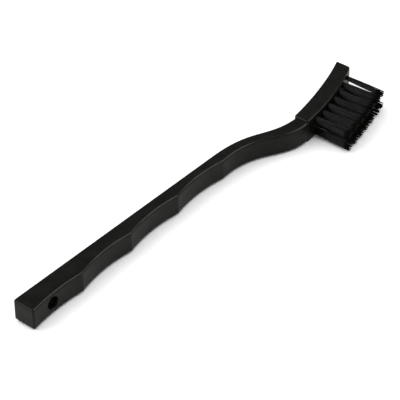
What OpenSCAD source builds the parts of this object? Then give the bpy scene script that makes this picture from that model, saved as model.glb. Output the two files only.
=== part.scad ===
// Crevice brush: one moulded handle with a finger-scalloped grip, a raised neck and a curved
// head, set with two rows of bristle tufts. Each tuft is folded over a flat metal anchor that
// is driven into the blind hole it sits in. Nothing on the brush moves.
//
// The brush lies on its side. X runs from the handle's end to the head's tip, the bristles
// point to -Y and Z is up. The origin is the middle of the bounding box, on the surface
// that the head lies on. Inside the file a place is given as (u, v, z): u is the distance
// from the handle's end and v is the distance from the grip's back edge towards the bristles.

/* [Grip] */
// Distance from the handle's end to its first finger ridge
end_len = 23.8; // [18:0.1:35]
// Distance from one finger ridge to the next
ridge_pitch = 25.3; // [16:0.1:32]
// Number of finger ridges
ridge_count = 4; // [2:1:6]
// Thickness of the grip and neck, flat side to flat side
grip_t = 7.9; // [6.4:0.1:8.4]
// Width of the grip at its end, back edge to front edge
end_w = 8.85; // [7:0.05:11]
// Width of the grip at the first finger ridge
first_ridge_w = 7.95; // [6:0.05:10]
// Width of the grip at the last finger ridge
last_ridge_w = 4.8; // [4:0.05:6]
// How early the width falls from ridge to ridge (1 is evenly)
ridge_taper = 1.4; // [1:0.1:2]
// Depth of the end scallop below the line between its ends
end_scallop_d = 0.95; // [0.3:0.05:1.5]
// Depth of each finger scallop below the line between its ridges
scallop_d = 1.35; // [0.3:0.05:1.8]
// Rounding of the moulding's long edges
edge_r = 0.5; // [0.3:0.05:0.9]
// Rounding of the edges of its end faces
end_r = 0.4; // [0.2:0.05:0.8]

/* [Hanging hole] */
// Diameter of the hanging hole
hang_d = 4.6; // [3:0.1:5]
// Distance from the handle's end to the middle of the hanging hole
hang_x = 10.2; // [6:0.1:14]

/* [Neck] */
// Length of the neck, last finger ridge to the head's root face
neck_len = 36.6; // [32:0.1:48]
// How far the neck's back edge rises from the grip's back edge
neck_rise = 8.45; // [5:0.05:12]
// How far the back edge runs on before it turns up
back_lead = 22.1; // [16:0.1:24]
// How far before the head the back edge levels out
back_tail = 16.9; // [12:0.1:20]
// How far the front edge runs on before it turns up
front_lead = 21.6; // [16:0.1:24]
// How far before the head the front edge levels out
front_tail = 15; // [12:0.1:18]
// How far the front edge dips past the last ridge
front_dip = 2; // [0:0.1:3]
// How far the front edge overshoots before the head
front_bulge = 1.7; // [0:0.1:2.5]

/* [Head] */
// Length of the head, root face to tip face
head_len = 38.7; // [36:0.1:52]
// Thickness of the head, flat side to flat side
head_t = 9.2; // [8.8:0.1:11]
// Width of the head at its root, back face to bristle face
head_root_w = 6.2; // [5.6:0.05:8]
// Width of the head at its tip
head_tip_w = 6.15; // [5.6:0.05:8]
// How far the bristle face falls back from root to tip
head_drop = 9.4; // [5:0.1:12]
// How far the head's back face stands proud of the neck
back_step = 0.7; // [0.3:0.05:1.5]
// How far the head's bristle face stands proud of the neck's end
front_step = 0.15; // [0.1:0.05:0.6]
// Radius of the rounded bristle face
face_r = 128; // [80:1:200]
// Radius of the hollow back face
back_r = 166; // [100:1:260]
// How far the neck is buried in the head
neck_root = 1; // [0.6:0.1:2]

/* [Bristles] */
// Number of tufts in each row
tuft_count = 7; // [3:1:7]
// Distance from tuft to tuft along a row
tuft_pitch = 4.8; // [4.4:0.05:5]
// Distance from the head's root face to the first tuft
first_tuft = 5.5; // [3:0.1:6]
// Distance between the middles of the two rows
row_gap = 5.2; // [4:0.1:5.3]
// Diameter of a tuft hole
hole_d = 2.2; // [1.8:0.05:2.4]
// Diameter of the two smaller holes at the tip
tip_hole_d = 1.6; // [1.4:0.05:2.2]
// Depth of a tuft hole, from the bristle face
hole_depth = 4.2; // [3.2:0.1:4.4]
// Length of the bristles outside the head
bristle_len = 16; // [8:0.1:25]
// How far a full tuft's outer strands spread along the row, from root to tip
flare_along = 1.1; // [0:0.05:1.1]
// How far they spread across the row
flare_across = 0.7; // [0:0.05:0.7]
// Number of strands in a full tuft
strand_count = 30; // [20:1:34]
// Distance from a strand's middle to its edges
strand_r = 0.13; // [0.08:0.01:0.14]
// Clearance between a tuft's root and its hole
root_fit = 0.03; // [0.01:0.01:0.1]

/* [Anchors] */
// Thickness of the anchor plate
anchor_t = 0.4; // [0.3:0.05:0.5]
// Height of the anchor plate along the hole
anchor_h = 1.7; // [1:0.1:2]
// How far each end of the anchor bites into the handle
anchor_bite = 0.3; // [0.2:0.05:0.5]
// Thickness of the folded bristle under the anchor
fold_t = 0.7; // [0.4:0.05:1]
// Clearance round the anchor
anchor_fit = 0.02; // [0.01:0.01:0.1]

/* [Hidden] */
HANDLE_COLOUR = [0.075, 0.075, 0.07];
BRISTLE_COLOUR = [0.2, 0.2, 0.19];
ANCHOR_COLOUR = [0.78, 0.76, 0.7];

CORNER_STEPS = 2; // flats on each rounded edge
SCALLOP_STEPS = 10; // rings along each scallop
NECK_STEPS = 18; // rings along the neck
HEAD_STEPS = 10; // rings along the head
CUT_OVER = 1; // how far a cut runs past what it cuts
STRAND_ROOT = 0.4; // how far a strand is fused into its tuft's root
SUNFLOWER = 137.508; // angle between strands that spreads them evenly over a disc
// An end face's rounding, as shares of end_r: how far along, and how far in from the sides
END_ROUND = [[0, 0.7], [0.3, 0.2], [1, 0]];

// Places along the brush
last_ridge_u = end_len + (ridge_count - 1) * ridge_pitch;
head_u = last_ridge_u + neck_len;
length = head_u + head_len;
mid_z = head_t / 2;
grip_z = [mid_z - grip_t / 2, mid_z + grip_t / 2];
head_z = [0, head_t];

// Heights of the head's corners above the grip's back edge
back_root_v = neck_rise - back_step;
face_root_v = back_root_v + head_root_w;
face_tip_v = face_root_v - head_drop;
back_tip_v = face_tip_v - head_tip_w;

// Width of the grip at finger ridge number n
function ridge_w(n) = last_ridge_w
    + (first_ridge_w - last_ridge_w) * pow(1 - (n - 1) / (ridge_count - 1), ridge_taper);

// A scallop of depth d between heights a and b, where t runs from 0 to 1
function sag(t, a, b, d) = a + (b - a) * t - 4 * d * t * (1 - t);

// Height of the grip's front edge
function grip_front(u) = u <= end_len
    ? sag(u / end_len, end_w, ridge_w(1), end_scallop_d)
    : let (n = min(floor((u - end_len) / ridge_pitch), ridge_count - 2),
           t = (u - end_len) / ridge_pitch - n)
      sag(t, ridge_w(n + 1), ridge_w(n + 2), scallop_d);

// A point on the cubic curve through p[0] and p[3] that p[1] and p[2] pull on
function cubic(p, t) = pow(1 - t, 3) * p[0] + 3 * pow(1 - t, 2) * t * p[1]
    + 3 * (1 - t) * t * t * p[2] + t * t * t * p[3];

neck_end_u = head_u + neck_root;
neck_end_v = face_root_v - front_step;
NECK_BACK = [
    [last_ridge_u, 0],
    [last_ridge_u + back_lead, 0],
    [neck_end_u - back_tail, neck_rise],
    [neck_end_u, neck_rise]
];
NECK_FRONT = [
    [last_ridge_u, last_ridge_w],
    [last_ridge_u + front_lead, last_ridge_w - front_dip],
    [neck_end_u - front_tail, neck_end_v + front_bulge],
    [neck_end_u, neck_end_v]
];

// Middle of the circle of radius r through a and b that bulges towards the bristles
function arc_middle(a, b, r) = let (c = b - a)
    (a + b) / 2 + [c[1], -c[0]] / norm(c) * sqrt(r * r - c * c / 4);

FACE_MIDDLE = arc_middle([head_u, face_root_v], [length, face_tip_v], face_r);
BACK_MIDDLE = arc_middle([head_u, back_root_v], [length, back_tip_v], back_r);

// Height at u of a circle
function arc_v(u, middle, r) = middle[1] + sqrt(r * r - pow(u - middle[0], 2));

// Heights of the head's two faces, and of the line that the bristles are trimmed to
function face_v(u) = arc_v(u, FACE_MIDDLE, face_r);
function back_v(u) = arc_v(u, BACK_MIDDLE, back_r);
function trim_v(u) = arc_v(u, FACE_MIDDLE, face_r + bristle_len);

// Tufts, numbered from the root to the tip
function tuft_u(n) = head_u + first_tuft + (n - 1) * tuft_pitch;
function tuft_d(n) = n == tuft_count ? tip_hole_d : hole_d;
function row_z(row) = mid_z + (row == "upper" ? 1 : -1) * row_gap / 2;
function root_r(n) = tuft_d(n) / 2 - root_fit;
function strand_reach(n) = root_r(n) - strand_r;
function tuft_strands(n) = round(strand_count * pow(strand_reach(n) / strand_reach(1), 2));
function hole_bottom(n) = face_v(tuft_u(n)) - hole_depth;
function root_top(n) = face_v(tuft_u(n) + tuft_d(n) / 2);
function anchor_v(n) = hole_bottom(n) + fold_t;

// The bounding box's middle is the origin
box_back = back_v(length - end_r);
box_front = trim_v(tuft_u(1) - hole_d / 2 - flare_along);
function place(u, v, z) = [u - length / 2, (box_front + box_back) / 2 - v, z];

// A ring round the moulding between back point b and front point f, with rounded corners,
// shrunk by inset on every side
function ring(b, f, zs, inset) =
    let (w = norm(f - b), along = (f - b) / w, r = edge_r - inset)
    [for (q = [0:3], k = [0:CORNER_STEPS])
        let (a = 180 + 90 * q + 90 * k / CORNER_STEPS,
             s = (q == 0 || q == 3 ? inset + r : w - inset - r) + r * cos(a),
             z = (q < 2 ? zs[0] + inset + r : zs[1] - inset - r) + r * sin(a),
             p = b + along * s)
        place(p[0], p[1], z)];

// A solid through a list of rings, closed at both ends
module skin(rings) {
    n = len(rings[0]);
    last = len(rings) - 1;
    sides = [for (i = [0:last - 1], j = [0:n - 1])
        let (a = i * n + j, b = i * n + (j + 1) % n)
        each [[a, b + n, a + n], [a, b, b + n]]];
    first_cap = [for (j = [1:n - 2]) [0, j + 1, j]];
    last_cap = [for (j = [1:n - 2]) [last * n, last * n + j, last * n + j + 1]];
    polyhedron(points = [for (r = rings) each r], faces = concat(first_cap, sides, last_cap));
}

// Numbers from a to b in the given number of steps, without a itself
function steps(a, b, count) = [for (i = [1:count]) a + (b - a) * i / count];

// Cylinder along a tuft hole's direction, from height v upwards
module bristle_way(u, v, z, r, h) {
    translate(place(u, v, z)) rotate([90, 0, 0]) cylinder(r = r, h = h, $fn = 48);
}

// Box centred on a tuft's axis, from height v upwards, w along the brush and t across it
module bristle_box(u, v, z, w, t, h) {
    translate(place(u - w / 2, v + h, z - t / 2)) cube([w, h, t]);
}

// Grip and neck, with the scalloped front edge
module grip_and_neck() {
    end_us = [for (e = END_ROUND) e[0] * end_r];
    end_insets = [for (e = END_ROUND) e[1] * end_r];
    grip_us = concat(
        steps(end_r, end_len, SCALLOP_STEPS),
        [for (n = [1:ridge_count - 1]) each steps(
            end_len + (n - 1) * ridge_pitch, end_len + n * ridge_pitch, SCALLOP_STEPS)]
    );
    skin(concat(
        [for (i = [0:2]) ring([end_us[i], 0], [end_us[i], grip_front(end_us[i])], grip_z, end_insets[i])],
        [for (u = grip_us) ring([u, 0], [u, grip_front(u)], grip_z, 0)],
        [for (t = steps(0, 1, NECK_STEPS)) ring(cubic(NECK_BACK, t), cubic(NECK_FRONT, t), grip_z, 0)]
    ));
}

// Head block, with a hollow back, a rounded bristle face and square ends
module head_block() {
    skin(concat(
        [for (e = END_ROUND) head_ring(head_u + e[0] * end_r, e[1] * end_r)],
        [for (u = steps(head_u + end_r, length - end_r, HEAD_STEPS)) head_ring(u, 0)],
        [for (i = [1:2]) let (e = END_ROUND[2 - i]) head_ring(length - e[0] * end_r, e[1] * end_r)]
    ));
}

function head_ring(u, inset) = ring([u, back_v(u)], [u, face_v(u)], head_z, inset);

// Blind hole for one tuft, with the groove that its anchor cuts on the way in
module tuft_hole(n, row) {
    u = tuft_u(n);
    z = row_z(row);
    bristle_way(u, hole_bottom(n), z, tuft_d(n) / 2, hole_depth + CUT_OVER);
    bristle_box(u, anchor_v(n), z, anchor_w(n) + 2 * anchor_fit, anchor_t + 2 * anchor_fit,
        hole_depth - fold_t + CUT_OVER);
}

function anchor_w(n) = tuft_d(n) + 2 * anchor_bite;

// The moulding: grip, neck and head in one piece of black plastic
module handle() {
    color(HANDLE_COLOUR) difference() {
        union() {
            grip_and_neck();
            head_block();
        }
        bristle_way(hang_x, -CUT_OVER, mid_z, hang_d / 2, end_w + 2 * CUT_OVER);
        for (row = ROWS, n = [1:tuft_count]) tuft_hole(n, row);
    }
}

// Strands of one tuft as three-sided prisms that lean outwards and end on the trim line
module strands(n, row) {
    count = tuft_strands(n);
    fullness = count / tuft_strands(1); // a thinner tuft splays less
    root_v = root_top(n) - STRAND_ROOT;
    points = [for (i = [0:count - 1])
        let (share = sqrt((i + 0.5) / count), a = i * SUNFLOWER,
             away = share * [cos(a), sin(a)],
             lean = fullness * [flare_along * away[0], flare_across * away[1]],
             foot = [tuft_u(n), row_z(row)] + strand_reach(n) * away,
             corners = [for (k = [0:2]) foot + strand_r * [cos(a + 120 * k), sin(a + 120 * k)]])
        each concat(
            [for (c = corners) place(c[0], root_v, c[1])],
            [for (c = corners) let (t = c + lean) place(t[0], trim_v(t[0]), t[1])]
        )];
    faces = [for (i = [0:count - 1]) let (p = 6 * i)
        each [
            [p, p + 1, p + 2], [p + 3, p + 5, p + 4],
            [p, p + 4, p + 1], [p, p + 3, p + 4],
            [p + 1, p + 5, p + 2], [p + 1, p + 4, p + 5],
            [p + 2, p + 3, p], [p + 2, p + 5, p + 3]
        ]];
    polyhedron(points = points, faces = faces);
}

// One tuft: its root fills the hole and is folded round the anchor, its strands are fused to it
module tuft(n, row) {
    u = tuft_u(n);
    z = row_z(row);
    color(BRISTLE_COLOUR) union() {
        difference() {
            bristle_way(u, hole_bottom(n), z, root_r(n), root_top(n) - hole_bottom(n));
            bristle_box(u, anchor_v(n), z, tuft_d(n) + CUT_OVER, anchor_t + 2 * anchor_fit,
                anchor_h + anchor_fit);
        }
        strands(n, row);
    }
}

// One anchor: a flat plate that pins the folded tuft to the bottom of its hole
module anchor(n, row) {
    color(ANCHOR_COLOUR)
        bristle_box(tuft_u(n), anchor_v(n), row_z(row), anchor_w(n), anchor_t, anchor_h);
}

// Least distance between the middles of two strands of tuft n where they leave its root
function least_spacing(n) =
    let (count = tuft_strands(n),
         feet = [for (i = [0:count - 1])
             strand_reach(n) * sqrt((i + 0.5) / count) * [cos(i * SUNFLOWER), sin(i * SUNFLOWER)]])
    min([for (i = [0:count - 2], j = [i + 1:count - 1]) norm(feet[i] - feet[j])]);
echo(strands_in_all = 2 * (tuft_count - 1) * tuft_strands(1) + 2 * tuft_strands(tuft_count));
echo(strand_width = 2 * strand_r, least_spacing = [least_spacing(1), least_spacing(tuft_count)]);

ROWS = ["upper", "lower"];

handle();
for (row = ROWS, n = [1:tuft_count]) {
    tuft(n, row);
    anchor(n, row);
}
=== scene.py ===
import math
import random

import bpy
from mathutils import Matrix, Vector


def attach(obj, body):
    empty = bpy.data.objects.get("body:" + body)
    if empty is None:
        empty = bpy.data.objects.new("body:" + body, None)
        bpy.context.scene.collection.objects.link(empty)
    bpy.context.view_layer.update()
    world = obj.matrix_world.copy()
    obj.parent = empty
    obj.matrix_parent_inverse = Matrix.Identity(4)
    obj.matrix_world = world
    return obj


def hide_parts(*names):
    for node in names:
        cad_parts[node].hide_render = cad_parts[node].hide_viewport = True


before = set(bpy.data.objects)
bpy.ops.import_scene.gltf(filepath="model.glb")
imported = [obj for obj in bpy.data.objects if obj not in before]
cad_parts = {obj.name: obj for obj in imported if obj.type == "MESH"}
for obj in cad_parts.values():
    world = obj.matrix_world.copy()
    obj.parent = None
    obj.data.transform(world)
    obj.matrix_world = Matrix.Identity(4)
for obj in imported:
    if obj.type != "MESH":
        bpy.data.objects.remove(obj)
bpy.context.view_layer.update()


# ---- Camera ----
# The brush is seen from above its hanging end, looking along the bristle side of the handle.
# A long lens from about 0.6 m, as fitted to the straight back edge and the square ends.
camera_data = bpy.data.cameras.new("camera")
camera_data.lens = 162
camera_data.sensor_width = 36
camera_data.clip_start = 0.01
camera = bpy.data.objects.new("camera", camera_data)
camera.location = (-0.3819, -0.303817, 0.37753)
camera.rotation_euler = (math.radians(52.5), 0, math.radians(-50.59))
bpy.context.scene.collection.objects.link(camera)
bpy.context.scene.camera = camera


# ---- Handle ----
# One injection moulding in black polypropylene, from the hanging end to the curved head block.
# The finger scallops and the raised neck run in the flat of the brush, the head stands proud all
# round, and the fourteen blind tuft holes are moulded in, each with the slots its anchor bites.
mm = 0.001
length, head_u, back_line = 175.0, 136.3, 14.133713
grip_low, grip_high, head_high = 0.65, 8.55, 9.2
middle_z = head_high / 2
ridge_u, ridge_pitch = [23.8, 49.1, 74.4, 99.7], 25.3
end_width, first_width, last_width, taper = 8.85, 7.95, 4.8, 1.4
end_sag, finger_sag = 0.95, 1.35


def at(u, v, z):
    """A place on the brush in metres: u from the hanging end, v from the back edge, z up, in mm."""
    return Vector(((u - length / 2) * mm, (back_line - v) * mm, z * mm))


def sag(t, a, b, depth):
    """The way from a to b at t from 0 to 1, dipping by depth half way."""
    return a + (b - a) * t - 4 * depth * t * (1 - t)


def ridge_width(n):
    return last_width + (first_width - last_width) * (1 - n / 3) ** taper


def grip_front(u):
    """The bristle side of the grip: one shallow scallop at the end, then three deeper ones."""
    if u <= ridge_u[0]:
        return sag(u / ridge_u[0], end_width, ridge_width(0), end_sag)
    n = min(int((u - ridge_u[0]) / ridge_pitch), 2)
    return sag((u - ridge_u[n]) / ridge_pitch, ridge_width(n), ridge_width(n + 1), finger_sag)


def neck_curve(points, t):
    """One edge of the S-shaped neck, a smooth curve between its end points."""
    a, b, c, d = ((1 - t) ** 3, 3 * t * (1 - t) ** 2, 3 * t * t * (1 - t), t ** 3)
    return tuple(a * points[0][i] + b * points[1][i] + c * points[2][i] + d * points[3][i]
                 for i in (0, 1))


def arc_centre(start, end, radius):
    """The middle of a shallow arc of that radius through two points of the head."""
    chord = (end[0] - start[0], end[1] - start[1])
    half = math.hypot(*chord) / 2
    reach = math.sqrt(radius ** 2 - half ** 2) / (2 * half)
    return (start[0] + end[0]) / 2 + chord[1] * reach, (start[1] + end[1]) / 2 - chord[0] * reach


def arc_v(u, centre, radius):
    return centre[1] + math.sqrt(radius ** 2 - (u - centre[0]) ** 2)


face_r, back_r = 128, 166
face_centre = arc_centre((head_u, 13.95), (length, 4.55), face_r)
back_centre = arc_centre((head_u, 7.75), (length, -1.6), back_r)


def face_v(u):
    """The side of the head that the bristles stand on."""
    return arc_v(u, face_centre, face_r)


def deselect():
    for thing in bpy.context.selected_objects:
        thing.select_set(False)


def only(thing):
    deselect()
    thing.select_set(True)
    bpy.context.view_layer.objects.active = thing


def select_nothing_in(kind):
    """Clears the selection inside the mesh at hand, ready to select its edges or faces in code."""
    bpy.ops.object.mode_set(mode="EDIT")
    bpy.ops.mesh.select_mode(type=kind)
    bpy.ops.mesh.select_all(action="DESELECT")
    bpy.ops.object.mode_set(mode="OBJECT")


def slab(name, rungs, low, high, edges, draft):
    """A flat moulding: a grid is pulled up twice and its rungs are laid along the side outline. Its
    front leans in from half height by the draft that frees it from the mould, and its long edges
    and its two ends are rounded, each by its own radius."""
    deselect()
    bpy.ops.mesh.primitive_grid_add(x_subdivisions=len(rungs) - 1, y_subdivisions=1, size=2)
    piece = bpy.context.object
    piece.name = name
    bpy.ops.object.mode_set(mode="EDIT")
    bpy.ops.mesh.select_all(action="SELECT")
    for half in range(2):
        bpy.ops.mesh.extrude_region_move(TRANSFORM_OT_translate={"value": (0, 0, 1)})
    bpy.ops.mesh.select_all(action="DESELECT")
    bpy.ops.object.mode_set(mode="OBJECT")

    # The edges are told apart on the plain grid, where x runs along the brush, y > 0 is its front
    # and z is 0, 1 or 2. Each gets its share of the widest rounding.
    raw = [vert.co.copy() for vert in piece.data.vertices]
    share_of = piece.data.attributes.new("bevel_weight_edge", "FLOAT", "EDGE")
    for edge in piece.data.edges:
        a, b = (raw[i] for i in edge.vertices)
        level = abs(a.z - b.z) < 0.5
        outer = level and abs(a.z - 1) > 0.5
        one_side = a.y * b.y > 0.5
        at_end = abs(a.x) > 0.99 and abs(b.x) > 0.99 and abs(a.x - b.x) < 0.01
        if at_end and (outer or (one_side and not level)):
            radius = edges["start"] if a.x < 0 else edges["tip"]
        elif outer and one_side:
            radius = edges["back"] if a.y < 0 else edges["front"] if a.z > 1 else edges["under"]
        else:
            radius = 0
        share_of.data[edge.index].value = radius / edges["front"]

    heights = (low, (low + high) / 2, high)
    for vert in piece.data.vertices:
        back, front = rungs[round((vert.co.x + 1) / 2 * (len(rungs) - 1))]
        level = round(vert.co.z)
        lean = 0 if level == 1 or vert.co.y < 0 else draft / math.dist(back, front)
        share = 1 - lean if vert.co.y > 0 else 0
        spot = [b + (f - b) * share for b, f in zip(back, front)]
        vert.co = at(*spot, heights[level])
    bpy.ops.object.mode_set(mode="EDIT")
    bpy.ops.mesh.select_all(action="SELECT")
    bpy.ops.mesh.normals_make_consistent(inside=False)
    bpy.ops.object.mode_set(mode="OBJECT")
    only(piece)
    rounding = piece.modifiers.new("rounded edges", "BEVEL")
    rounding.limit_method = "WEIGHT"
    rounding.width = edges["front"] * mm
    rounding.segments = 6
    rounding.use_clamp_overlap = True
    bpy.ops.object.modifier_apply(modifier=rounding.name)
    return piece


def cut(piece, tool, how):
    """Joins another solid to a piece, or cuts it out of it."""
    only(piece)
    step = piece.modifiers.new("cut", "BOOLEAN")
    step.operation = how
    step.solver = "EXACT"
    step.object = tool
    bpy.ops.object.modifier_apply(modifier=step.name)
    bpy.data.objects.remove(tool)


def joined(tools):
    """Several cutting tools as one."""
    only(tools[0])
    for tool in tools:
        tool.select_set(True)
    bpy.ops.object.join()
    return tools[0]


# The grip narrows ridge by ridge, and each ridge's crest is rounded just enough to see.
crest, crest_turn, station_gap = 0.35, 0.21, 0.9
stations = [0.0]
while stations[-1] < ridge_u[-1] - 1:
    stations.append(round(stations[-1] + station_gap, 3))
stations = [u for u in stations if min(abs(u - r) for r in ridge_u) > crest + 0.1]
for r in ridge_u[:3]:
    stations += [r + crest * part for part in (-1, -0.5, 0, 0.5, 1)]
rungs = []
for u in sorted(stations):
    width = grip_front(u)
    for r in ridge_u[:3]:
        near = abs(u - r)
        if near < crest:
            width -= crest_turn * crest * (1 - near / crest) ** 2 / 2
    rungs.append(((u, 0.0), (u, width)))

neck_steps = 48
neck_back = ((99.7, 0), (121.8, 0), (120.4, 8.45), (137.3, 8.45))
neck_front = ((99.7, 4.8), (121.3, 2.8), (122.3, 15.5), (137.3, 13.8))
for step in range(neck_steps + 1):
    rungs.append(tuple(neck_curve(side, step / neck_steps) for side in (neck_back, neck_front)))
handle = slab("moulded_handle_piece", rungs, grip_low, grip_high,
              {"front": 1.0, "under": 0.6, "back": 0.4, "start": 0.75, "tip": 0.5}, draft=0.04)

head_steps = 40
head_rungs = []
for step in range(head_steps + 1):
    u = head_u + (length - head_u) * step / head_steps
    head_rungs.append(((u, arc_v(u, back_centre, back_r)), (u, face_v(u))))
head = slab("head_block", head_rungs, 0.0, head_high,
            {"front": 0.85, "under": 0.6, "back": 0.48, "start": 0.7, "tip": 0.48}, draft=0.03)
cut(handle, head, "UNION")

# The hanging hole. Its pin had a flared foot at both ends, so the rims come out rounded: the pin is
# pulled out ring by ring and widened on a quarter circle, and then run on past the surface.
hole_u, hole_r, rim = 10.2, 2.3, 0.42
flare_steps, run_on = 6, 1.0
turn = 90 / flare_steps
mouth = grip_front(hole_u)
deselect()
bpy.ops.mesh.primitive_cylinder_add(vertices=64, radius=hole_r * mm, depth=(mouth - 2 * rim) * mm,
                                    location=at(hole_u, mouth / 2, middle_z),
                                    rotation=(math.pi / 2, 0, 0))
bpy.ops.object.transform_apply(location=True, rotation=True, scale=True)
pin = bpy.context.object
for outward, foot in ((-1, mouth), (1, 0.0)):
    select_nothing_in("FACE")
    pin_middle = at(0, mouth / 2, 0).y
    for face in pin.data.polygons:
        face.select = len(face.vertices) > 4 and face.center.y * outward > pin_middle * outward
    bpy.ops.object.mode_set(mode="EDIT")
    centre = at(hole_u, foot, middle_z)
    wide = hole_r
    for step in range(1, flare_steps + 1):
        angle, before = math.radians(turn * step), math.radians(turn * (step - 1))
        wider = hole_r + rim * (1 - math.cos(angle))
        forward = outward * rim * (math.sin(angle) - math.sin(before)) * mm
        bpy.ops.mesh.extrude_region_move(TRANSFORM_OT_translate={"value": (0, forward, 0)})
        bpy.ops.transform.resize(value=(wider / wide, 1, wider / wide), center_override=centre)
        wide = wider
    bpy.ops.mesh.extrude_region_move(
        TRANSFORM_OT_translate={"value": (0, outward * run_on * mm, 0)})
    bpy.ops.object.mode_set(mode="OBJECT")
cut(handle, pin, "DIFFERENCE")

# The blind tuft holes in two rows, the last of each row narrower than the others.
first_tuft, tuft_pitch, row_out, hole_depth = 5.5, 4.8, 2.6, 4.2
row_z = {"upper": middle_z + row_out, "lower": middle_z - row_out}
hole_places = [(row, n, head_u + first_tuft + tuft_pitch * n, z)
               for row, z in row_z.items() for n in range(7)]


def hole_across(n):
    return 1.6 if n == 6 else 2.2


drills = []
for row, n, u, z in hole_places:
    deselect()
    bpy.ops.mesh.primitive_cylinder_add(vertices=24, radius=hole_across(n) / 2 * mm,
                                        depth=2 * hole_depth * mm, location=at(u, face_v(u), z),
                                        rotation=(math.pi / 2, 0, 0))
    bpy.ops.object.transform_apply(location=True, rotation=True, scale=True)
    drills.append(bpy.context.object)
cut(handle, joined(drills), "DIFFERENCE")

# The two slots that each anchor's ends cut beside its hole, from near the bottom up and out.
slot_past, slot_thick, slot_up, slot_start = 0.64, 0.44, 8, 0.7
slots = []
for row, n, u, z in hole_places:
    deselect()
    slot_v = face_v(u) - hole_depth + slot_start + slot_up / 2
    bpy.ops.mesh.primitive_cube_add(size=1, location=at(u, slot_v, z))
    bpy.ops.transform.resize(value=((hole_across(n) + slot_past) * mm, slot_up * mm,
                                    slot_thick * mm))
    bpy.ops.object.transform_apply(location=True, rotation=True, scale=True)
    slots.append(bpy.context.object)
cut(handle, joined(slots), "DIFFERENCE")

only(handle)
bpy.ops.object.shade_smooth_by_angle(angle=math.radians(20))
true_flats = handle.modifiers.new("true flats", "WEIGHTED_NORMAL")
true_flats.keep_sharp = True
bpy.ops.object.modifier_apply(modifier=true_flats.name)


def linear(hex_colour):
    """An sRGB hex colour as the linear colour that a shader takes."""
    parts = [int(hex_colour[i:i + 2], 16) / 255 for i in (1, 3, 5)]
    return tuple(c / 12.92 if c <= 0.04045 else ((c + 0.055) / 1.055) ** 2.4
                 for c in parts) + (1.0,)


def node(tree, kind, settings=None, **links):
    """Adds a node to a material with its settings, and links its inputs (spaces written as _)."""
    added = tree.nodes.new(kind)
    for key, value in (settings or {}).items():
        if key in added.inputs:
            added.inputs[key].default_value = value
        else:
            setattr(added, key, value)
    for key, source in links.items():
        tree.links.new(source, added.inputs[key.replace("_", " ")])
    return added


def finish_of(name):
    """A new material with its own shader and nothing else."""
    material = bpy.data.materials.new(name)
    material.use_nodes = True
    tree = material.node_tree
    tree.nodes.clear()
    return material, tree


# Black polypropylene moulded in a fine spark-eroded tool: nearly black and slightly warm, with a
# satin sheen that shows at a low angle. It has faint flow clouds a few millimetres across, sink
# marks about 6 mm apart, and a fine grain. The grain is 0.15 mm in the real tool and drawn at
# 0.4 mm so that it shows.
black_plastic, tree = finish_of("black_moulded_polypropylene")
where = node(tree, "ShaderNodeTexCoord").outputs["Object"]
clouds = node(tree, "ShaderNodeTexNoise", {"Scale": 210.0, "Detail": 6.0, "Roughness": 0.7},
              Vector=where)
grain = node(tree, "ShaderNodeTexNoise", {"Scale": 2600.0, "Detail": 2.0, "Roughness": 0.6},
             Vector=where)
tone = node(tree, "ShaderNodeValToRGB", Fac=clouds.outputs["Fac"])
tone.color_ramp.elements[0].position = 0.35
tone.color_ramp.elements[0].color = linear("#060605")
tone.color_ramp.elements[1].position = 0.65
tone.color_ramp.elements[1].color = linear("#1a1916")
sheen = node(tree, "ShaderNodeMapRange", {"To Min": 0.32, "To Max": 0.4},
             Value=clouds.outputs["Fac"])
stretched = node(tree, "ShaderNodeMapping", {"Scale": (0.6, 1.0, 1.5)}, Vector=where)
sinks = node(tree, "ShaderNodeTexNoise", {"Scale": 170.0, "Detail": 2.0},
             Vector=stretched.outputs["Vector"])
waves = node(tree, "ShaderNodeBump", {"Strength": 1.0, "Distance": 0.00016},
             Height=sinks.outputs["Fac"])
relief = node(tree, "ShaderNodeBump", {"Strength": 0.16, "Distance": 0.00004},
              Height=grain.outputs["Fac"], Normal=waves.outputs["Normal"])
shader = node(tree, "ShaderNodeBsdfPrincipled",
              {"IOR": 1.49, "Specular IOR Level": 0.2, "Specular Tint": (1.0, 0.99, 0.9, 1.0)},
              Base_Color=tone.outputs["Color"], Roughness=sheen.outputs["Result"],
              Normal=relief.outputs["Normal"])
node(tree, "ShaderNodeOutputMaterial", Surface=shader.outputs["BSDF"])
handle.data.materials.clear()
handle.data.materials.append(black_plastic)

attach(handle, "root")
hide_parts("handle")


# ---- Anchors ----
# Fourteen flat plates cropped from half-hard nickel silver wire, driven over the folded tufts.
# They sit deep in the holes, and their cropped ends bite into the plastic on both sides.
# The wire is drawn, so it has fine lines along it and a dulled metal sheen.
nickel_silver, tree = finish_of("nickel_silver_cropped_wire")
where = node(tree, "ShaderNodeTexCoord").outputs["Object"]
along = node(tree, "ShaderNodeMapping", {"Scale": (1.0, 12.0, 12.0)}, Vector=where)
drawn = node(tree, "ShaderNodeTexNoise", {"Scale": 900.0, "Detail": 3.0},
             Vector=along.outputs["Vector"])
colour = node(tree, "ShaderNodeValToRGB", Fac=drawn.outputs["Fac"])
colour.color_ramp.elements[0].color = linear("#9c947f")
colour.color_ramp.elements[1].color = linear("#c4bca6")
dulled = node(tree, "ShaderNodeMapRange", {"To Min": 0.25, "To Max": 0.45},
              Value=drawn.outputs["Fac"])
lines = node(tree, "ShaderNodeBump", {"Strength": 0.2, "Distance": 0.00001},
             Height=drawn.outputs["Fac"])
shader = node(tree, "ShaderNodeBsdfPrincipled", {"Metallic": 1.0},
              Base_Color=colour.outputs["Color"], Roughness=dulled.outputs["Result"],
              Normal=lines.outputs["Normal"])
node(tree, "ShaderNodeOutputMaterial", Surface=shader.outputs["BSDF"])
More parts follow.
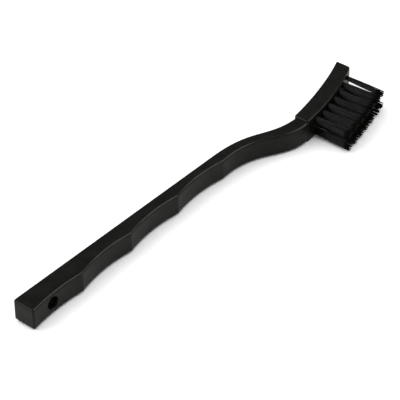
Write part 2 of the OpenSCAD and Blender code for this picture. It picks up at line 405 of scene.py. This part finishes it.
for row, n, u, z in hole_places:
    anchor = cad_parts[f"anchor_{row}_{n + 1}"]
    anchor.data.materials.clear()
    anchor.data.materials.append(nickel_silver)


# ---- Tufts ----
# Fourteen bundles of black nylon filaments. Each filament is folded round the anchor, so both
# its ends stand up, and the bundle fans out from its hole. The ends are trimmed to one long curve
# after tufting and have clumped into small points.
bristle_len, filament_r, trim_dip = 16.0, 0.08, 3.2
golden_turn = 2.39996
rings = 17
deselect()
bpy.ops.mesh.primitive_cylinder_add(vertices=5, radius=filament_r * mm, depth=2,
                                    end_fill_type="NGON")
straight = bpy.context.object
select_nothing_in("EDGE")
for edge in straight.data.edges:
    a, b = (straight.data.vertices[i].co.z for i in edge.vertices)
    edge.select = abs(a - b) > 1
bpy.ops.object.mode_set(mode="EDIT")
bpy.ops.mesh.subdivide(number_cuts=rings - 2)
bpy.ops.object.mode_set(mode="OBJECT")
straight_points = [(round((v.co.z + 1) / 2 * (rings - 1)), v.co.x, v.co.y)
                   for v in straight.data.vertices]
straight_faces = [tuple(p.vertices) for p in straight.data.polygons]
straight_worn = [max(straight_points[i][0] for i in face) in (1, rings - 1)
                 for face in straight_faces]
bpy.data.objects.remove(straight)

# Where a leg is given a point, in mm above the head's face, and how the fold sits in the hole.
in_hole, above = (-3.4, -1.5, 0.2), (1.6, 5.0, 9.6)
fold_depth, fold_sag = 3.6, 0.45
anchor_thick, off_middle, clear = 0.4, 0.03, 0.02
beside_anchor = anchor_thick / 2 + filament_r + 0.01


def trim_v(u):
    """The long curve that the ends are cut to: the head's own arc, one bristle length out, and
    0.8 mm shorter half way along."""
    along = (u - head_u) / (length - head_u)
    return arc_v(u, face_centre, face_r + bristle_len) - trim_dip * along * (1 - along)


def filament_path(rng, u, z, p, q, size, clumps, lean):
    """The middle line of one folded filament: down one leg, round the anchor and up the other.
    p and q say where in the hole it stands, from the middle, as shares of the hole."""
    root = face_v(u)
    p_root, q_root = p * size["root"], size["root"] * q + off_middle
    floor_z, roof_z = filament_r + clear - z, head_high - filament_r - clear - z
    legs = []
    for side in (1, -1):
        inward = side * (middle_z - z) > 0
        along_tip = p * size["tip_along"] + rng.gauss(0, 0.10)
        across_tip = side * q * size["tip_in" if inward else "tip_out"] + rng.gauss(0, 0.08)
        near = min(clumps, key=lambda c: (c[0] - along_tip) ** 2 + (c[1] - across_tip) ** 2)
        pull = rng.uniform(0.4, 0.85)
        along_tip += (near[0] - along_tip) * pull
        across_tip += (near[1] - across_tip) * pull
        across_tip = max(floor_z, min(roof_z, across_tip))
        end = trim_v(u + along_tip + lean) - min(abs(rng.gauss(0, 0.14)), 0.6) - 0.02
        bow = (rng.gauss(0, 0.14), rng.gauss(0, 0.12))
        worn_from = rng.uniform(12.8, 14.4)
        leg = []
        # Beside the anchor the leg is pressed outwards, and it comes half way back at the mouth.
        for s in in_hole:
            hard = beside_anchor + (size["root"] - beside_anchor) * q
            ease = 0.5 * max(0.0, (s - in_hole[1]) / (in_hole[2] - in_hole[1]))
            leg.append((u + p_root, root + s, z + side * (hard + (q_root - hard) * ease)))
        # Above the head it fans out, sooner on the side towards the other row.
        for v in [root + s for s in above + (worn_from,)] + [end]:
            t = (v - root) / (end - root)
            fan = 0.25 * min(1, t / 0.1) + 0.75 * t ** 1.4
            rise = t ** (0.6 if inward else 1.4)
            bend = math.sin(math.pi * t)
            a = p_root * (1 - fan) + (along_tip + lean) * fan + bow[0] * bend
            c = side * q_root * (1 - rise) + across_tip * rise + bow[1] * bend
            leg.append((u + a, v, z + max(floor_z, min(roof_z, c))))
        legs.append(leg)
    fold = (u + p_root, root - fold_depth - fold_sag * q, z)
    return legs[0][::-1] + [fold] + legs[1]


def sweep(path):
    """One copy of the straight filament, laid along its path."""
    points = [at(*p) for p in path]
    frames = []
    side = Vector((1, 0, 0))
    for k, point in enumerate(points):
        ahead = (points[min(k + 1, len(points) - 1)] - points[max(k - 1, 0)]).normalized()
        side = (side - ahead * side.dot(ahead)).normalized()
        frames.append((point, side, ahead.cross(side)))
    verts = []
    for ring, x, y in straight_points:
        point, a, b = frames[ring]
        verts.append(point + a * x + b * y)
    return verts


def spiral(k, count):
    """Place k of count places spread evenly over a round of radius 1."""
    angle, out = k * golden_turn, math.sqrt((k + 0.5) / count)
    return out * math.cos(angle), out * math.sin(angle)


def make_tuft(name, u, z, size, seed, lean):
    """A bundle of folded filaments, spread over one half of the hole and folded to the other."""
    rng = random.Random(seed)
    clumps = []
    for k in range(size["clumps"]):
        p, q = spiral(k, size["clumps"])
        clumps.append((0.85 * p * size["tip_along"] + rng.gauss(0, 0.12),
                       0.85 * q * (size["tip_in"] + size["tip_out"]) / 2 + rng.gauss(0, 0.1)))
    verts, faces, tones = [], [], []
    k = made = 0
    while made < size["filaments"]:
        p, q = spiral(k, 2 * size["filaments"])
        k += 1
        if q < 0:
            continue
        made += 1
        start = len(verts)
        verts += sweep(filament_path(rng, u, z, p, q, size, clumps, lean))
        faces += [tuple(start + i for i in face) for face in straight_faces]
        tones += [rng.random()] * len(straight_points)
    mesh = bpy.data.meshes.new(name)
    mesh.from_pydata(verts, [], faces)
    mesh.polygons.foreach_set("use_smooth", [len(p.vertices) == 4 for p in mesh.polygons])
    mesh.polygons.foreach_set("material_index", straight_worn * made)
    tone_of = mesh.attributes.new("filament_tone", "FLOAT", "POINT")
    tone_of.data.foreach_set("value", tones)
    mesh.update()
    tuft = bpy.data.objects.new(name, mesh)
    bpy.context.scene.collection.objects.link(tuft)
    return tuft


# Black nylon 6, extruded and drawn: smooth round filaments with a thin highlight along them. From
# filament to filament the dye and the sheen differ a little.
black_nylon, tree = finish_of("black_drawn_nylon_filament")
tone_in = node(tree, "ShaderNodeAttribute", {"attribute_name": "filament_tone"})
where = node(tree, "ShaderNodeTexCoord").outputs["Object"]
streaks = node(tree, "ShaderNodeTexNoise", {"Scale": 900.0, "Detail": 2.0}, Vector=where)
mixed = node(tree, "ShaderNodeMath", {"operation": "MULTIPLY"})
tree.links.new(tone_in.outputs["Fac"], mixed.inputs[0])
tree.links.new(streaks.outputs["Fac"], mixed.inputs[1])
tone = node(tree, "ShaderNodeValToRGB", Fac=mixed.outputs["Value"])
tone.color_ramp.elements[0].position = 0.05
tone.color_ramp.elements[0].color = linear("#080807")
tone.color_ramp.elements[1].position = 0.6
tone.color_ramp.elements[1].color = linear("#141312")
gloss = node(tree, "ShaderNodeMapRange", {"To Min": 0.2, "To Max": 0.42},
             Value=tone_in.outputs["Fac"])
shader = node(tree, "ShaderNodeBsdfPrincipled", {"IOR": 1.53, "Specular IOR Level": 0.21},
              Base_Color=tone.outputs["Color"], Roughness=gloss.outputs["Result"])
node(tree, "ShaderNodeOutputMaterial", Surface=shader.outputs["BSDF"])

# The same nylon at its trimmed end, where the knife has torn and scuffed the last millimetre or
# two: matt and dark.
cut_nylon, tree = finish_of("black_nylon_cut_end")
where = node(tree, "ShaderNodeTexCoord").outputs["Object"]
torn = node(tree, "ShaderNodeTexNoise", {"Scale": 6000.0, "Detail": 2.0}, Vector=where)
tone = node(tree, "ShaderNodeValToRGB", Fac=torn.outputs["Fac"])
tone.color_ramp.elements[0].color = linear("#090908")
tone.color_ramp.elements[1].color = linear("#1d1c1a")
shader = node(tree, "ShaderNodeBsdfPrincipled", {"Roughness": 0.9, "Specular IOR Level": 0.0},
              Base_Color=tone.outputs["Color"])
node(tree, "ShaderNodeOutputMaterial", Surface=shader.outputs["BSDF"])

# Radii of a bundle at its root and its tip, along the head and to either side of its row. The
# last two bundles of a row lean towards each other.
wide_tuft = {"root": 0.98, "tip_along": 2.1, "tip_out": 1.3, "tip_in": 2.45,
             "clumps": 13, "filaments": 78}
tip_tuft = {"root": 0.69, "tip_along": 1.55, "tip_out": 1.1, "tip_in": 1.2,
            "clumps": 5, "filaments": 50}
lean_of = {5: 0.6, 6: -0.35}
row_seed = {"upper": 200, "lower": 300}
for row, n, u, z in hole_places:
    tuft = make_tuft(f"bristle_tuft_{row}_{n + 1}", u, z, tip_tuft if n == 6 else wide_tuft,
                     row_seed[row] + n, lean_of.get(n, 0))
    tuft.data.materials.append(black_nylon)
    tuft.data.materials.append(cut_nylon)
    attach(tuft, "root")
    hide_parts(f"tuft_{row}_{n + 1}")


# ---- Table ----
# A plain table in white matt laminate. The camera and reflections see it as plain white, while it
# gives the brush no more light than its own colour does. Close under the brush, where little light
# comes in, the colour the camera sees is painted darker by ambient occlusion: a painted contact
# shadow.
deselect()
bpy.ops.mesh.primitive_plane_add(size=12, location=(0, 0, -0.00005))
table = bpy.context.object
table.name = "white_table"
white_laminate, tree = finish_of("white_matt_laminate")
where = node(tree, "ShaderNodeTexCoord").outputs["Object"]
speckle = node(tree, "ShaderNodeTexNoise", {"Scale": 40.0, "Detail": 2.0}, Vector=where)
pale = node(tree, "ShaderNodeValToRGB", Fac=speckle.outputs["Fac"])
pale.color_ramp.elements[0].color = linear("#e6e6e6")
pale.color_ramp.elements[1].color = linear("#e9e9e9")
ray = node(tree, "ShaderNodeLightPath")
reflected = node(tree, "ShaderNodeMath", {"operation": "ADD"})
tree.links.new(ray.outputs["Is Glossy Ray"], reflected.inputs[0])
tree.links.new(ray.outputs["Is Transmission Ray"], reflected.inputs[1])
# Painted contact shadow: the less open a spot, the darker the colour the camera sees, down to 0.1
# of white.
shade = node(tree, "ShaderNodeAmbientOcclusion", {"samples": 8, "Distance": 0.006})
lift_and_painted_shadow = node(tree, "ShaderNodeMapRange",
                  {"From Min": 0.1, "From Max": 0.34, "To Min": 0.1, "To Max": 1.7},
                  Value=shade.outputs["AO"])
shown = pale.outputs["Color"]
for seen_by in (reflected.outputs["Value"], ray.outputs["Is Camera Ray"]):
    lift = node(tree, "ShaderNodeMix", {"data_type": "RGBA"})
    tree.links.new(seen_by, lift.inputs["Factor"])
    tree.links.new(shown, lift.inputs[6])
    lift.inputs[7].default_value = (1, 1, 1, 1)
    shown = lift.outputs[2]
tree.links.new(lift_and_painted_shadow.outputs["Result"], lift.inputs[7])
matt = node(tree, "ShaderNodeBsdfDiffuse", Color=shown)
node(tree, "ShaderNodeOutputMaterial", Surface=matt.outputs["BSDF"])
table.data.materials.append(white_laminate)


# ---- Light ----
# A white room that lights the brush evenly from all round, with one large soft box behind it on
# the left. Reflections see the room as a photographer's tent: dark low down, grey overhead, and
# two bright windows that draw the light lines along the edges.
world = bpy.data.worlds.new("studio")
bpy.context.scene.world = world
world.use_nodes = True
tree = world.node_tree
tree.nodes.clear()
way = node(tree, "ShaderNodeTexCoord").outputs["Generated"]
split = node(tree, "ShaderNodeSeparateXYZ", Vector=way)
height = node(tree, "ShaderNodeMapRange",
              {"From Min": 0.3, "From Max": 0.6, "To Min": 0.04, "To Max": 0.32},
              Value=split.outputs["Z"])
shown = height.outputs["Result"]
for side, strength in (((0.53, -0.58, 0.617), 5.6), ((-0.6, 0.49, 0.63), 2.4)):
    towards = node(tree, "ShaderNodeVectorMath", {"operation": "DOT_PRODUCT"})
    tree.links.new(way, towards.inputs[0])
    towards.inputs[1].default_value = Vector(side).normalized()
    window = node(tree, "ShaderNodeMapRange",
                  {"interpolation_type": "SMOOTHSTEP", "From Min": 0.93, "From Max": 0.965,
                   "To Max": strength}, Value=towards.outputs["Value"])
    both = node(tree, "ShaderNodeMath", {"operation": "ADD"})
    tree.links.new(shown, both.inputs[0])
    tree.links.new(window.outputs["Result"], both.inputs[1])
    shown = both.outputs["Value"]
white = {"Color": (1, 1, 1, 1)}
tent = node(tree, "ShaderNodeBackground", white, Strength=shown)
room = node(tree, "ShaderNodeBackground", {**white, "Strength": 0.72})
backdrop = node(tree, "ShaderNodeBackground", {**white, "Strength": 1.0})
ray = node(tree, "ShaderNodeLightPath")
seen = room.outputs["Background"]
for kind, instead in (("Is Glossy Ray", tent), ("Is Camera Ray", backdrop)):
    mix = node(tree, "ShaderNodeMixShader")
    tree.links.new(ray.outputs[kind], mix.inputs[0])
    tree.links.new(seen, mix.inputs[1])
    tree.links.new(instead.outputs["Background"], mix.inputs[2])
    seen = mix.outputs["Shader"]
node(tree, "ShaderNodeOutputWorld", Surface=seen)

lamp = bpy.data.lights.new("left_soft_box", "AREA")
lamp.shape = "RECTANGLE"
lamp.size = lamp.size_y = 0.9
lamp.energy = 4
soft_box = bpy.data.objects.new("left_soft_box", lamp)
soft_box.location = (-0.8, 0.7, 0.8)
soft_box.rotation_euler = (-soft_box.location).to_track_quat("-Z", "Y").to_euler()
bpy.context.scene.collection.objects.link(soft_box)

bpy.context.scene.view_settings.view_transform = "Standard"
